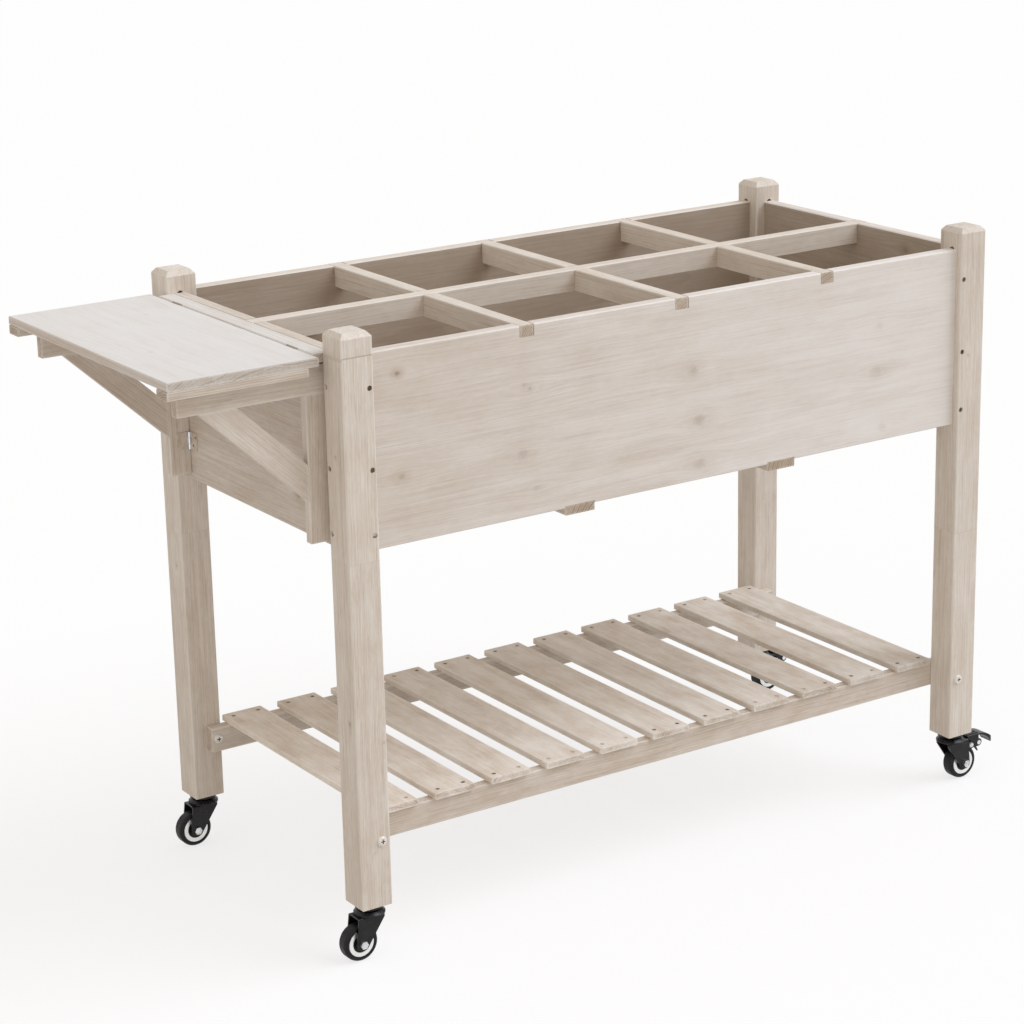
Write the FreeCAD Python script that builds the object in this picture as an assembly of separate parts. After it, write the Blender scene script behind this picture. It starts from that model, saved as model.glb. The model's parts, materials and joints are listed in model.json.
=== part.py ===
import FreeCAD, Part
import math
import os

Vec = FreeCAD.Vector

# Legs and the frame they make
frame_length = 1050.0
frame_depth = 505.0
leg_side = 45.0
leg_length = 762.0
leg_hip_width = 6.0
leg_hip_height = 7.0
leg_ease = 1.5

# Planter panels, tongued into the legs
panel_thickness = 18.0
panel_height = 254.0
panel_inset = 11.0
panel_drop = 30.0
panel_ease = 1.5
tongue_thickness = 9.0
tongue_length = 11.5
tongue_shoulder = 4.0
groove_depth = 12.0
groove_clearance = 0.1
groove_rise = 3.0

# Bed of the planter
bed_batten_width = 46.5
bed_batten_thickness = 13.0
bed_batten_let_in = 3.5
bed_batten_spacing = 336.0
bed_batten_slack = 0.3
bed_ease = 1.0
floor_board_thickness = 10.0
floor_board_count = 4
floor_board_gap = 4.0
floor_edge_gap = 1.0

# Dividers that drop into the rim
divider_thickness = 20.0
divider_height = 30.0
divider_tab_height = 15.5
divider_pitch = 246.0
divider_cross_count = 3
divider_notch_slack = 1.0
divider_wall_gap = 0.5
halving_clearance = 0.15
divider_ease = 1.0

# Side table
table_thickness = 11.5
table_seam = 2.0
table_ease = 1.5
strip_overhang = 13.0
strip_end_clearance = 0.5
leaf_width = 207.0
leaf_end_inset = 28.0
leaf_batten_width = 27.5
leaf_batten_thickness = 11.5
leaf_batten_setback = 14.5
leaf_batten_ease = 1.0

# Hinges of the leaf and of the fold brackets
hinge_plate_thickness = 1.5
hinge_plate_width = 18.0
hinge_barrel_radius = 2.5
hinge_pin_radius = 1.25
hinge_pin_clearance = 0.05
hinge_knuckle_gap = 0.3
hinge_slot_clearance = 0.4
leaf_hinge_length = 27.0
leaf_hinge_inset = 70.5
bracket_hinge_length = 24.0
bracket_hinge_heights = (47.0, 150.0)

# Fold brackets under the leaf
bracket_thickness = 13.0
bracket_batten_gap = 0.5
bracket_wall_gap = 0.3
bracket_leaf_gap = 0.3
bracket_swing_clearance = 2.5
bracket_ease = 1.0
post_width = 31.0
post_length = 192.0
arm_height = 41.2
arm_length = 207.5
arm_relief = 5.0
brace_width = 35.0
brace_rise = 55.0
brace_angle = 43.0

# Shelf
shelf_rise = 72.0
rail_height = 35.5
rail_thickness = 16.0
rail_end_inset = 22.0
rail_ease = 1.0
slat_count = 11
slat_width = 62.0
slat_thickness = 9.0
slat_leg_gap = 6.0
slat_overhang = 5.0
slat_ease = 1.0

# Shelf bolts
bolt_head_radius = 6.5
bolt_head_height = 3.5
bolt_head_round = 2.2
bolt_recess_length = 6.4
bolt_recess_width = 1.5
bolt_recess_depth = 1.8
bolt_shank_radius = 3.0
bolt_inset = 32.0
bolt_rise = 19.5
bolt_length_front = 57.0
bolt_length_rear = 46.0

# Wood screws: head radius, head height, shank radius, length under the head, depth of the head's top
panel_screw = {"head": 3.5, "height": 2.5, "shank": 1.75, "length": 24.0, "sink": 2.0}
slat_screw = {"head": 3.2, "height": 1.8, "shank": 1.4, "length": 20.0, "sink": 1.0}
bed_screw = {"head": 3.0, "height": 2.5, "shank": 1.75, "length": 24.0, "sink": 1.0}
strip_screw = {"head": 3.0, "height": 2.5, "shank": 1.75, "length": 24.0, "sink": 1.0}
hinge_screw = {"head": 1.8, "height": 0.9, "shank": 1.1, "length": 7.0, "sink": 0.0}
tie_screw = {"head": 3.0, "height": 2.0, "shank": 1.75, "length": 20.0, "sink": 0.4}
panel_screw_depths = (42.0, 146.5, 231.0)
strip_screw_insets = (22.0, 132.0)
hinge_screw_reach_shares = (0.45, 0.8)
slat_screw_spread_share = 0.64
tie_screw_inset = 23.0
tie_screw_drop = 158.0
screw_clearance = 0.05
screw_tip_room = 0.5

# Casters
caster_height = 75.0
caster_trail = 18.5
stem_radius = 5.0
stem_length = 38.0
stem_clearance = 0.1
race_radius = 19.0
race_height = 4.0
race_neck_radius = 13.0
race_neck_height = 3.0
swivel_gap = 0.3
kingpin_radius = 4.0
kingpin_clearance = 0.08
kingpin_head_radius = 7.0
kingpin_head_height = 2.5
crown_radius = 21.0
crown_top_radius = 17.0
crown_rim_height = 2.0
crown_height = 5.7
fork_sheet = 2.0
fork_inside = 23.0
fork_lead = 15.0
fork_tail = 24.0
fork_shoulder = 5.0
fork_bend_radius = 3.5
fork_boss_radius = 9.5
wheel_radius = 25.0
wheel_width = 19.0
wheel_shoulder_radius = 4.6
wheel_side_gap = 0.3
wheel_hub_radius = 8.0
wheel_dish_radius = 12.6
wheel_dish_depth = 1.6
wheel_ring_radius = 18.3
wheel_ring_depth = 0.6
wheel_seam_width = 0.9
wheel_seam_depth = 1.2
axle_radius = 3.0
axle_clearance = 0.05
axle_end = 1.2
nut_flats = 10.0
nut_height = 5.0
bolt_hex_height = 4.0

# Brake pedal on the braked casters
ear_radius = 6.0
rivet_radius = 2.2
rivet_head_radius = 3.4
rivet_head_height = 1.2
rivet_clearance = 0.08
pedal_pivot_tail = 30.0
pedal_pivot_height = 50.7
pedal_rivet_pitch = 16.7
pedal_side_gap = 0.3
pedal_sheet = 1.3
pedal_top_sheet = 2.2
pedal_lip = 6.6
pedal_nose = 1.6
pedal_fork_gap = 1.2
pedal_rise = 13.8
pedal_flat = 18.0
pedal_rib_count = 3
pedal_rib_pitch = 6.0
pedal_rib_width = 2.2
pedal_rib_height = 0.7
pedal_rib_inset = 1.6
pedal_reach = 48.0
pedal_tip_drop = 14.5
pedal_spur_shares = ((0.45, -0.9), (0.72, -0.9), (0.94, -2.1), (0.84, -2.2))
shoe_radius = 3.2
shoe_gap = 2.6
shoe_angle = 45.0

# Every cut runs past its piece by this much
overrun = 2.0

# Levels and faces that several pieces share
leg_bottom = caster_height
leg_top = leg_bottom + leg_length
panel_top = leg_top - panel_drop
panel_bottom = panel_top - panel_height
half_length = frame_length / 2
half_depth = frame_depth / 2
leg_inner_x = half_length - leg_side
leg_inner_y = half_depth - leg_side
panel_outer_x = half_length - panel_inset
panel_outer_y = half_depth - panel_inset
panel_inner_x = panel_outer_x - panel_thickness
panel_inner_y = panel_outer_y - panel_thickness
bed_batten_bottom = panel_bottom + bed_batten_let_in - bed_batten_thickness
bed_batten_top = bed_batten_bottom + bed_batten_thickness
table_bottom = panel_top - table_thickness
seam_x = -(half_length + strip_overhang)
leaf_inner_x = seam_x - table_seam
leaf_outer_x = leaf_inner_x - leaf_width
leaf_axis_x = seam_x - table_seam / 2
leaf_length = frame_depth - 2 * leaf_end_inset
leaf_hinge_y = leaf_length / 2 - leaf_hinge_inset
strip_end = leg_inner_y - strip_end_clearance
bracket_outer_y = leaf_length / 2 - leaf_batten_width - bracket_batten_gap
bracket_inner_y = bracket_outer_y - bracket_thickness
hinge_stand = hinge_barrel_radius + hinge_knuckle_gap
bracket_pin_x = -(panel_outer_x + hinge_stand)
bracket_pin_y = bracket_inner_y - hinge_stand
bracket_root_x = -(panel_outer_x + bracket_wall_gap)
arm_top = table_bottom - bracket_leaf_gap
arm_bottom = arm_top - arm_height
post_bottom = arm_bottom - post_length
rail_bottom = leg_bottom + shelf_rise
rail_top = rail_bottom + rail_height
rail_outer_y = leg_inner_y
rail_inner_y = rail_outer_y - rail_thickness
race_bottom = leg_bottom - race_height - race_neck_height
crown_top = race_bottom - swivel_gap
fork_top = crown_top - crown_height
fork_outer = fork_inside / 2 + fork_sheet
axle_height = wheel_radius

pieces = {}
holes = {}
wood_screws = []
shelf_bolts = []
fixed_hinge_leaves = []
hinge_pins = []


def box(x, y, z):
    """Block between two faces on each axis, given in either order."""
    low = Vec(min(x), min(y), min(z))
    return Part.makeBox(abs(x[1] - x[0]), abs(y[1] - y[0]), abs(z[1] - z[0]), low)


def point(axis, a, b, along):
    """Point from its place along an axis and its two other coordinates, in X, Y, Z order."""
    if axis == "x":
        return Vec(along, a, b)
    if axis == "y":
        return Vec(a, along, b)
    return Vec(a, b, along)


def prism(outline, axis, start, end):
    """Outline in the two other coordinates, carried from start to end along the axis."""
    corners = [point(axis, a, b, start) for a, b in outline]
    face = Part.Face(Part.makePolygon(corners + corners[:1]))
    return face.extrude(point(axis, 0, 0, end - start))


def rod(radius, axis, a, b, start, end):
    """Cylinder along an axis, between two places."""
    low = min(start, end)
    return Part.makeCylinder(radius, abs(end - start), point(axis, a, b, low), point(axis, 0, 0, 1))


def eased(a, b, cut):
    """Corners of a rectangle whose four corners are cut off."""
    a0, a1 = min(a), max(a)
    b0, b1 = min(b), max(b)
    return [
        (a0 + cut, b0), (a1 - cut, b0), (a1, b0 + cut), (a1, b1 - cut),
        (a1 - cut, b1), (a0 + cut, b1), (a0, b1 - cut), (a0, b0 + cut),
    ]


def board(axis, a, b, along, ease):
    """Board with eased long edges that runs along an axis."""
    return prism(eased(a, b, ease), axis, min(along), max(along))


def turned(radius_steps, base):
    """Solid of stacked discs about Z, from pairs of radius and height, upwards from base."""
    level = base
    solid = None
    for radius, height in radius_steps:
        disc = Part.makeCylinder(radius, height, Vec(0, 0, level))
        solid = disc if solid is None else solid.fuse(disc)
        level = level + height
    return solid.removeSplitter()


def drill(names, cutter):
    """Notes a hole that the named pieces get."""
    for name in names:
        holes.setdefault(name, []).append(cutter)


def headed(spot, heading, head, height, shank, length, start):
    """Head and shank of a screw or bolt as one solid, the head's top at start along the heading."""
    top = spot + heading * start
    solid = Part.makeCylinder(head, height, top, heading)
    return solid.fuse(Part.makeCylinder(shank, height + length, top, heading)).removeSplitter()


def drive(group, spot, heading, size, names):
    """Screw with its sunk head, and its hole in each named piece."""
    seat = size["sink"] + size["height"]
    group.append(
        headed(spot, heading, size["head"], size["height"], size["shank"], size["length"], size["sink"])
    )
    mouth = Part.makeCylinder(size["head"] + screw_clearance, seat + overrun, spot - heading * overrun, heading)
    reach = seat + size["length"] + screw_tip_room
    drill(names, mouth)
    drill(names, Part.makeCylinder(size["shank"] + screw_clearance, reach, spot, heading))


def slope_cut(axis, sign, face, level, up, width, height, along):
    """Wedge that takes an edge off a post: the edge where a side face meets a level face."""
    inner = face - sign * width
    outer = face + sign * overrun
    foot = level - up * height
    beyond = level + up * overrun
    return prism([(face, foot), (inner, level), (inner, beyond), (outer, beyond), (outer, foot)], axis, *along)


def groove(axis, sign, mouth, centre):
    """Routed groove in a leg, closed at the foot and round at its upper end."""
    half = tongue_thickness / 2 + groove_clearance
    crest = panel_top + groove_rise - half
    start = mouth - sign * overrun
    end = mouth + sign * groove_depth
    slot = (centre - half, centre + half)
    if axis == "x":
        channel = box((start, end), slot, (panel_bottom, crest))
    else:
        channel = box(slot, (start, end), (panel_bottom, crest))
    return channel.fuse(rod(half, axis, centre, crest, start, end))


def leg(sx, sy):
    """Square leg with a hipped top, two grooves and the caster's stem hole."""
    x = (sx * half_length, sx * leg_inner_x)
    y = (sy * half_depth, sy * leg_inner_y)
    solid = prism(eased(x, y, leg_ease), "z", leg_bottom, leg_top)
    cuts = []
    for axis, pair, other in (("y", x, y), ("x", y, x)):
        along = (min(other) - overrun, max(other) + overrun)
        for face, sign in ((min(pair), -1), (max(pair), 1)):
            cuts.append(slope_cut(axis, sign, face, leg_top, 1, leg_hip_width, leg_hip_height, along))
            cuts.append(slope_cut(axis, sign, face, leg_bottom, -1, leg_ease, leg_ease, along))
    cuts.append(groove("x", sx, sx * leg_inner_x, sy * (panel_outer_y - panel_thickness / 2)))
    cuts.append(groove("y", sy, sy * leg_inner_y, sx * (panel_outer_x - panel_thickness / 2)))
    stem_hole = stem_length + stem_clearance + overrun
    spot = Vec(sx * (half_length - leg_side / 2), sy * (half_depth - leg_side / 2), leg_bottom - overrun)
    cuts.append(Part.makeCylinder(stem_radius + stem_clearance, stem_hole, spot))
    return solid.cut(cuts)


def cross_places():
    """Places of the cross dividers along the planter."""
    middle = (divider_cross_count - 1) / 2
    return [(n - middle) * divider_pitch for n in range(divider_cross_count)]


def batten_places():
    """Places of the two bed battens along the planter."""
    return [-bed_batten_spacing / 2, bed_batten_spacing / 2]


def rim_notch(axis, place, outer, inner):
    """Notch in a panel's top edge for a divider's tab."""
    half = divider_thickness / 2 + divider_notch_slack
    away = math.copysign(overrun, outer)
    across = (outer + away, inner - away)
    level = (panel_top - divider_tab_height, panel_top + overrun)
    if axis == "x":
        return box((place - half, place + half), across, level)
    return box(across, (place - half, place + half), level)


def long_panel(sy):
    """Front or rear panel with tongues, rim notches and seats for the bed battens."""
    faces = (sy * panel_outer_y, sy * panel_inner_y)
    middle = (faces[0] + faces[1]) / 2
    body = board("x", faces, (panel_bottom, panel_top), (-leg_inner_x, leg_inner_x), panel_ease)
    reach = leg_inner_x + tongue_length
    half = tongue_thickness / 2
    tongue = box((-reach, reach), (middle - half, middle + half), (panel_bottom, panel_top - tongue_shoulder))
    cuts = [rim_notch("x", place, *faces) for place in cross_places()]
    away = math.copysign(overrun, sy)
    width = bed_batten_width / 2 + bed_batten_slack
    for place in batten_places():
        cuts.append(
            box(
                (place - width, place + width),
                (faces[0] + away, faces[1] - away),
                (panel_bottom - overrun, bed_batten_top),
            )
        )
    return body.fuse(tongue).removeSplitter().cut(cuts)


def end_panel(sx):
    """Left or right panel with tongues and the rim notch of the long divider."""
    faces = (sx * panel_outer_x, sx * panel_inner_x)
    middle = (faces[0] + faces[1]) / 2
    body = board("y", faces, (panel_bottom, panel_top), (-leg_inner_y, leg_inner_y), panel_ease)
    reach = leg_inner_y + tongue_length
    half = tongue_thickness / 2
    tongue = box((middle - half, middle + half), (-reach, reach), (panel_bottom, panel_top - tongue_shoulder))
    return body.fuse(tongue).removeSplitter().cut(rim_notch("y", 0, *faces))


def floor_boards():
    """Loose boards on the bed battens, with drain gaps, notched round the legs."""
    end = panel_inner_x - floor_edge_gap
    side = panel_inner_y - floor_edge_gap
    width = (2 * side - (floor_board_count - 1) * floor_board_gap) / floor_board_count
    level = (bed_batten_top, bed_batten_top + floor_board_thickness)
    corners = []
    for sx in (-1, 1):
        for sy in (-1, 1):
            x = (sx * (leg_inner_x - floor_edge_gap), sx * half_length)
            y = (sy * (leg_inner_y - floor_edge_gap), sy * half_depth)
            corners.append(box(x, y, (level[0] - overrun, level[1] + overrun)))
    boards = []
    for n in range(floor_board_count):
        start = -side + n * (width + floor_board_gap)
        plank = board("x", (start, start + width), level, (-end, end), bed_ease)
        boards.append(plank.cut(corners))
    return boards


def divider(axis, place, outer, inner, crossings, from_below):
    """Divider bar with end tabs in the rim and half laps where others cross it."""
    half = divider_thickness / 2
    low = panel_top - divider_height
    tab = panel_top - divider_tab_height
    bar = board(axis, (place - half, place + half), (low, panel_top), (-outer, outer), divider_ease)
    lap = panel_top - divider_height / 2
    room = half + halving_clearance
    wide = (place - half - overrun, place + half + overrun)
    cuts = []
    spans = [((-outer - overrun, -inner), (low - overrun, tab)), ((inner, outer + overrun), (low - overrun, tab))]
    for other in crossings:
        level = (low - overrun, lap) if from_below else (lap, panel_top + overrun)
        spans.append(((other - room, other + room), level))
    for along, level in spans:
        cuts.append(box(along, wide, level) if axis == "x" else box(wide, along, level))
    return bar.cut(cuts)


def hinge_leaf(u, v, w, length, back, segments, others):
    """Plate and knuckles of a hinge about the origin, with its pin bore and its rival's knuckle room."""
    depth = v * (back - hinge_plate_thickness)
    corner = depth - w * (length / 2)
    edges = [corner, corner + u * hinge_plate_width]
    edges += [edges[1] + w * length, edges[0] + w * length]
    solid = Part.Face(Part.makePolygon(edges + edges[:1])).extrude(v * hinge_plate_thickness)
    for start, end in others:
        solid = solid.cut(Part.makeCylinder(hinge_stand, end - start, w * start, w))
    for start, end in segments:
        solid = solid.fuse(Part.makeCylinder(hinge_barrel_radius, end - start, w * start, w))
    bore = Part.makeCylinder(
        hinge_pin_radius + hinge_pin_clearance, length + 2 * overrun, -w * (length / 2 + overrun), w
    )
    return solid.removeSplitter().cut(bore)


def knuckles(length):
    """Knuckle spans of the fixed and the moving leaf, and the room each leaves for the other."""
    third = (length - 2 * hinge_knuckle_gap) / 3
    low = -length / 2
    middle = low + third + hinge_knuckle_gap
    fixed = [(low, low + third), (middle + third + hinge_knuckle_gap, length / 2)]
    moving = [(middle, middle + third)]
    fixed_room = [(middle - hinge_knuckle_gap, middle + third + hinge_knuckle_gap)]
    moving_room = [
        (low - hinge_knuckle_gap, low + third + hinge_knuckle_gap),
        (middle + third, length / 2 + hinge_knuckle_gap),
    ]
    return fixed, moving, fixed_room, moving_room


def hinge(at, w, length, fixed_way, moving_way, moving_screws, fixed_wood, moving_wood):
    """One butt hinge; each way is the plate's heading, its back's heading and the back's distance."""
    fixed, moving, fixed_room, moving_room = knuckles(length)
    leaves = []
    jobs = (
        (fixed_way, fixed, fixed_room, wood_screws, fixed_wood),
        (moving_way, moving, moving_room, moving_screws, moving_wood),
    )
    for (u, v, back), own, room, group, wood in jobs:
        leaf = hinge_leaf(u, v, w, length, back, own, room).translated(at)
        for share, side in zip(hinge_screw_reach_shares, (-1, 1)):
            spot = at + u * (hinge_plate_width * share) + w * (side * length / 4)
            spot = spot + v * (back - hinge_plate_thickness)
            before = len(holes.setdefault("plate", []))
            drive(group, spot, v, hinge_screw, ["plate", wood])
            leaf = leaf.cut(holes["plate"][before:])
        leaves.append(leaf)
    fixed_hinge_leaves.append(leaves[0])
    hinge_pins.append(Part.makeCylinder(hinge_pin_radius, length, at - w * (length / 2), w))
    return leaves[1]


def mortise(sx, y):
    """Recess for a leaf hinge's plate in the underside of the strip or the leaf."""
    half = leaf_hinge_length / 2 + hinge_knuckle_gap
    end = leaf_axis_x + sx * (hinge_plate_width + hinge_knuckle_gap)
    return box(
        (leaf_axis_x, end), (y - half, y + half), (table_bottom - overrun, table_bottom + hinge_plate_thickness)
    )


def hinge_slot(y):
    """Slot through strip and leaf that leaves room for a leaf hinge's barrel."""
    half = leaf_hinge_length / 2 + hinge_knuckle_gap
    room = hinge_barrel_radius + hinge_slot_clearance
    return box(
        (leaf_axis_x - room, leaf_axis_x + room), (y - half, y + half), (table_bottom - overrun, panel_top + overrun)
    )


def side_table():
    """Hinge strip, leaf, leaf battens and the leaf's two hinges."""
    top = (table_bottom, panel_top)
    half = leaf_length / 2
    strip = board("y", (seam_x, -panel_outer_x), top, (-strip_end, strip_end), table_ease)
    leaf = board("y", (leaf_outer_x, leaf_inner_x), top, (-half, half), table_ease)
    places = (-leaf_hinge_y, leaf_hinge_y)
    pieces["table_hinge_strip"] = strip.cut([hinge_slot(y) for y in places] + [mortise(1, y) for y in places])
    pieces["table_leaf"] = leaf.cut([hinge_slot(y) for y in places] + [mortise(-1, y) for y in places])
    up = Vec(0, 0, 1)
    plates = []
    screws = []
    for y in places:
        fixed_way = (Vec(1, 0, 0), up, hinge_plate_thickness)
        moving_way = (Vec(-1, 0, 0), up, hinge_plate_thickness)
        at = Vec(leaf_axis_x, y, table_bottom)
        plates.append(
            hinge(
                at, Vec(0, 1, 0), leaf_hinge_length, fixed_way, moving_way, screws,
                "table_hinge_strip", "table_leaf",
            )
        )
    pieces["leaf_hinge_plates"] = plates + screws
    level = (table_bottom - leaf_batten_thickness, table_bottom)
    along = (leaf_outer_x, leaf_inner_x - leaf_batten_setback)
    for name, sy in (("table_batten_front", -1), ("table_batten_rear", 1)):
        across = (sy * half, sy * (half - leaf_batten_width))
        pieces[name] = board("x", across, level, along, leaf_batten_ease)
    for inset in strip_screw_insets:
        for y in (inset - strip_end, strip_end - inset):
            spot = Vec(-panel_inner_x, y, (table_bottom + panel_top) / 2)
            drive(wood_screws, spot, Vec(-1, 0, 0), strip_screw, ["end_panel_left", "table_hinge_strip"])


def fold_bracket(side, sy):
    """Post, arm and brace that swing under the leaf, with the hinges that carry them."""
    faces = (sy * bracket_inner_y, sy * bracket_outer_y)
    span = (min(faces), max(faces))
    post_x = (bracket_root_x - post_width, bracket_root_x)
    pieces["bracket_post_" + side] = board("z", post_x, faces, (post_bottom, arm_bottom), bracket_ease)
    tip = bracket_root_x - arm_length
    barrel_x = leaf_axis_x - hinge_barrel_radius - bracket_pin_x
    barrel_y = bracket_pin_y - leaf_hinge_y + leaf_hinge_length / 2
    relief_x = bracket_pin_x - math.hypot(barrel_x, barrel_y) - bracket_swing_clearance
    relief_z = arm_top - arm_relief
    outline = [
        (bracket_root_x, arm_bottom), (bracket_root_x, relief_z), (relief_x, relief_z),
        (relief_x, arm_top), (tip, arm_top), (tip, arm_bottom),
    ]
    pieces["bracket_arm_" + side] = prism(outline, "y", *span)
    angle = math.radians(brace_angle)
    heel = post_bottom + brace_rise
    upper = heel + brace_width / math.cos(angle)
    foot = post_x[0]
    outline = [
        (foot, heel), (foot, upper),
        (foot - (arm_bottom - upper) / math.tan(angle), arm_bottom),
        (foot - (arm_bottom - heel) / math.tan(angle), arm_bottom),
    ]
    pieces["bracket_brace_" + side] = prism(outline, "y", *span)
    plates = []
    screws = []
    for height in bracket_hinge_heights:
        at = Vec(bracket_pin_x, sy * bracket_pin_y, post_bottom + height)
        fixed_way = (Vec(0, -sy, 0), Vec(1, 0, 0), hinge_stand)
        moving_way = (Vec(-1, 0, 0), Vec(0, sy, 0), hinge_stand)
        plates.append(
            hinge(
                at, Vec(0, 0, 1), bracket_hinge_length, fixed_way, moving_way, screws,
                "end_panel_left", "bracket_post_" + side,
            )
        )
    pieces["bracket_hinge_plates_" + side] = plates + screws


def shelf():
    """Two rails bolted to the legs, and the slats across them."""
    end = half_length - rail_end_inset
    for name, sy in (("shelf_rail_front", -1), ("shelf_rail_rear", 1)):
        across = (sy * rail_outer_y, sy * rail_inner_y)
        pieces[name] = board("x", across, (rail_bottom, rail_top), (-end, end), rail_ease)
    reach = rail_outer_y + slat_overhang
    first = -leg_inner_x + slat_leg_gap
    pitch = (-2 * first - slat_width) / (slat_count - 1)
    for n in range(slat_count):
        start = first + n * pitch
        name = "shelf_slat_%02d" % (n + 1)
        level = (rail_top, rail_top + slat_thickness)
        pieces[name] = board("y", (start, start + slat_width), level, (-reach, reach), slat_ease)
        for sy, rail in ((-1, "shelf_rail_front"), (1, "shelf_rail_rear")):
            for side in (-1, 1):
                x = start + slat_width / 2 * (1 + side * slat_screw_spread_share)
                spot = Vec(x, sy * (rail_outer_y + rail_inner_y) / 2, level[1])
                drive(wood_screws, spot, Vec(0, 0, -1), slat_screw, [name, rail])


def round_bolt(spot, heading, length):
    """Bolt along Y with a domed head that stands on a face, and a cross recess in the head."""
    solid = headed(spot, heading, bolt_head_radius, bolt_head_height, bolt_shank_radius, length, -bolt_head_height)
    crest = spot.y - bolt_head_height
    rim = [edge for edge in solid.Edges if edge.BoundBox.YMax - crest < screw_clearance]
    solid = solid.makeFillet(bolt_head_round, rim)
    deep = (crest - overrun, crest + bolt_recess_depth)
    reach = bolt_recess_length / 2
    half = bolt_recess_width / 2
    for wide, high in ((reach, half), (half, reach)):
        slot = box((spot.x - wide, spot.x + wide), deep, (spot.z - high, spot.z + high))
        solid = solid.cut(slot)
    return solid


def bolt_shelf():
    """Bolts that hold the rails: from the leg's face at the front, from the rail's face at the rear."""
    back = Vec(0, 1, 0)
    jobs = (
        ("front", -half_depth, bolt_length_front),
        ("rear", rail_inner_y, bolt_length_rear),
    )
    for row, face, length in jobs:
        for side, sx in (("left", -1), ("right", 1)):
            spot = Vec(sx * (half_length - bolt_inset), face, rail_bottom + bolt_rise)
            shelf_bolts.append(round_bolt(spot, back, length))
            reach = length + screw_tip_room
            hole = Part.makeCylinder(bolt_shank_radius + screw_clearance, reach, spot, back)
            drill(["leg_%s_%s" % (row, side), "shelf_rail_" + row], hole)


def screw_panels():
    """Screws through the leg faces that pin each panel's tongues."""
    inset = groove_depth / 2
    for row, sy in (("front", -1), ("rear", 1)):
        for side, sx in (("left", -1), ("right", 1)):
            post = "leg_%s_%s" % (row, side)
            for depth in panel_screw_depths:
                level = panel_top - depth
                spot = Vec(sx * (leg_inner_x + inset), sy * half_depth, level)
                drive(wood_screws, spot, Vec(0, -sy, 0), panel_screw, [post, row + "_panel"])
                spot = Vec(sx * half_length, sy * (leg_inner_y + inset), level)
                drive(wood_screws, spot, Vec(-sx, 0, 0), panel_screw, [post, "end_panel_" + side])
    spot = Vec(-half_length, -half_depth + tie_screw_inset, leg_top - tie_screw_drop)
    drive(wood_screws, spot, Vec(1, 0, 0), tie_screw, ["leg_front_left"])


def screw_bed(number, place):
    """Screws from below that hold a bed batten to the long panels."""
    for sy, panel in ((-1, "front_panel"), (1, "rear_panel")):
        spot = Vec(place, sy * (panel_outer_y + panel_inner_y) / 2, bed_batten_bottom)
        drive(wood_screws, spot, Vec(0, 0, 1), bed_screw, ["bed_batten_%d" % number, panel])


def wheel_shape():
    """Wheel about its own axle along Y: tyre, light ring, dished hub and bore."""
    half = wheel_width / 2
    hub = fork_inside / 2 - wheel_side_gap
    bore = axle_radius + axle_clearance
    dish = half - wheel_dish_depth
    ring = half - wheel_ring_depth
    seam = half - wheel_seam_depth
    tyre = wheel_ring_radius + wheel_seam_width
    flank = [
        (bore, hub), (wheel_hub_radius, hub), (wheel_hub_radius, dish), (wheel_dish_radius, dish),
        (wheel_dish_radius, ring), (wheel_ring_radius, ring), (wheel_ring_radius, seam), (tyre, seam),
        (tyre, half), (wheel_radius - wheel_shoulder_radius, half),
    ]
    bend = wheel_shoulder_radius * math.sqrt(0.5)
    centre = (wheel_radius - wheel_shoulder_radius, half - wheel_shoulder_radius)
    edges = []
    for sign in (1, -1):
        corners = [Vec(r, sign * y, 0) for r, y in flank]
        edges += [Part.LineSegment(a, b).toShape() for a, b in zip(corners, corners[1:])]
        middle = Vec(centre[0] + bend, sign * (centre[1] + bend), 0)
        tread = Vec(wheel_radius, sign * centre[1], 0)
        edges.append(Part.Arc(corners[-1], middle, tread).toShape())
    low = Vec(wheel_radius, -centre[1], 0)
    edges.append(Part.LineSegment(Vec(wheel_radius, centre[1], 0), low).toShape())
    edges.append(Part.LineSegment(Vec(bore, hub, 0), Vec(bore, -hub, 0)).toShape())
    wire = Part.Wire(Part.__sortEdges__(edges))
    return Part.Face(wire).revolve(Vec(0, 0, 0), Vec(0, 1, 0), 360)


def tangent_point(tail, height, side):
    """Where the line from a point touches the axle boss, on the leading (-1) or trailing (1) side."""
    away = (tail - caster_trail, height - axle_height)
    distance = math.hypot(*away)
    turn = math.atan2(away[1], away[0]) - side * math.acos(fork_boss_radius / distance)
    return (
        caster_trail + fork_boss_radius * math.cos(turn),
        axle_height + fork_boss_radius * math.sin(turn),
    )


def folded_sheet():
    """Sheet folded to a channel, open below, along the wheel."""
    reach = max(pedal_pivot_tail + ear_radius, caster_trail + fork_boss_radius)
    shells = []
    foot = axle_height - fork_boss_radius
    for side, top, radius in (
        (fork_outer, fork_top, fork_bend_radius),
        (fork_inside / 2, fork_top - fork_sheet, fork_bend_radius - fork_sheet),
    ):
        block = box((-fork_lead, reach), (-side, side), (foot, top))
        bends = [edge for edge in block.Edges if all(abs(v.Z - top) < groove_clearance for v in edge.Vertexes)]
        bends = [edge for edge in bends if abs(edge.tangentAt(edge.FirstParameter).x) > math.cos(1)]
        shells.append(block.makeFillet(radius, bends))
    return shells[0].cut(shells[1])


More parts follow.
